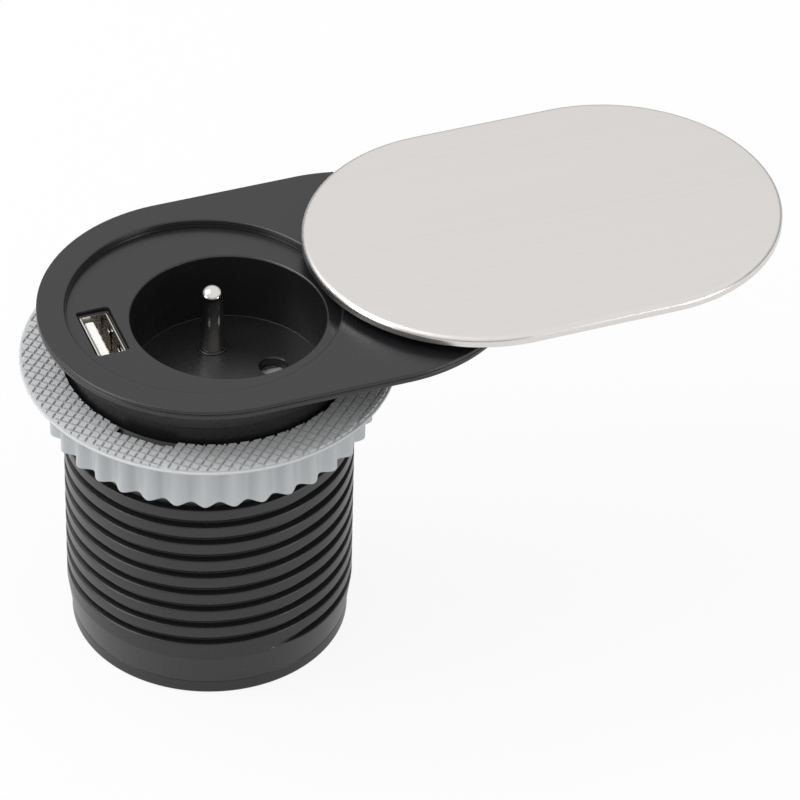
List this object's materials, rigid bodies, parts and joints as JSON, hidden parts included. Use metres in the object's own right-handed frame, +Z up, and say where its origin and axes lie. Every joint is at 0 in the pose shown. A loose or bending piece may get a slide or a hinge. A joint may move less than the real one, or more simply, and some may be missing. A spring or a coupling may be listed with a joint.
{
  "type": "furniture socket",
  "caption": "Round desk socket with a recessed earthed mains outlet, a charging port, an oblong sliding lid and a threaded body clamped by a ring nut.",
  "frame": {"origin": "on the thread axis, in the plane of the worktop surface, which is the underside of the flange", "axes": "+Z up along the thread axis, +X towards the end of the plate that the open lid covers, +Y towards the earth pin side"},
  "size_m": [0.158, 0.0754, 0.0822],
  "materials": {
    "black_abs": "satin moulded ABS",
    "black_pom": "moulded acetal",
    "lid_metal": "finely brushed",
    "nut_grey": "moulded polypropylene",
    "grip_grey": "raised grip squares",
    "nickel": "nickel plated",
    "brass": "plain",
    "steel": "zinc plated",
    "port_white": "moulded PBT",
    "shutter_grey": "moulded",
    "block_white": "moulded polyamide",
    "board_green": "solder mask on glass epoxy",
    "copper": "enamelled wire",
    "ferrite": "sintered",
    "can_black": "shrink sleeve",
    "chip_black": "moulded epoxy",
    "bush_rubber": "moulded"
  },
  "bodies": {
    "base": {"base_shell": "black_abs", "face_plate": "black_abs", "keeper_studs": "steel", "keeper_screws": "steel", "socket_insert": "black_abs", "earth_pin": "nickel", "contact_block": "block_white", "left_contact": "brass", "right_contact": "brass", "shutter_spring": "steel", "terminal_cages": "brass", "terminal_screws": "steel", "block_screws": "steel", "usb_shell": "steel", "usb_tongue": "port_white", "usb_contacts": "brass", "charger_board": "board_green", "transformer_core": "ferrite", "transformer_winding": "copper", "capacitors": "can_black", "charger_chips": "chip_black", "bottom_cap": "black_abs", "cable_bush": "bush_rubber", "cord_clamp": "black_abs", "clamp_screws": "steel", "cap_screws": "steel"},
    "lid": {"lid_cover": "lid_metal", "lid_carrier": "black_pom"},
    "washer": {"grip_washer": "grip_grey"},
    "nut": {"clamp_nut": "nut_grey"},
    "shutter": {"shutter": "shutter_grey"}
  },
  "joints": [
    {"name": "lid_slide", "type": "slide", "parent": "base", "child": "lid", "axis": [1, 0, 0], "range_m": [-0.0559, 0]},
    {"name": "nut_travel", "type": "slide", "parent": "base", "child": "washer", "axis": [0, 0, 1], "range_m": [-0.0421, 0]},
    {"name": "nut_spin", "type": "hinge", "parent": "washer", "child": "nut", "pos_m": [0, 0, -0.017], "axis": [0, 0, 1], "range_deg": [-3420, 0]},
    {"name": "shutter_slide", "type": "slide", "parent": "base", "child": "shutter", "axis": [0, 1, 0], "range_m": [-0.0064, 0], "stiffness_N_per_m": 80, "springref_m": 0.0025, "deforming": ["shutter_spring"]}
  ],
  "couplings": [
    {"joint": "nut_travel", "follows": "nut_spin", "m_per_rad": 0.00070347}
  ]
}
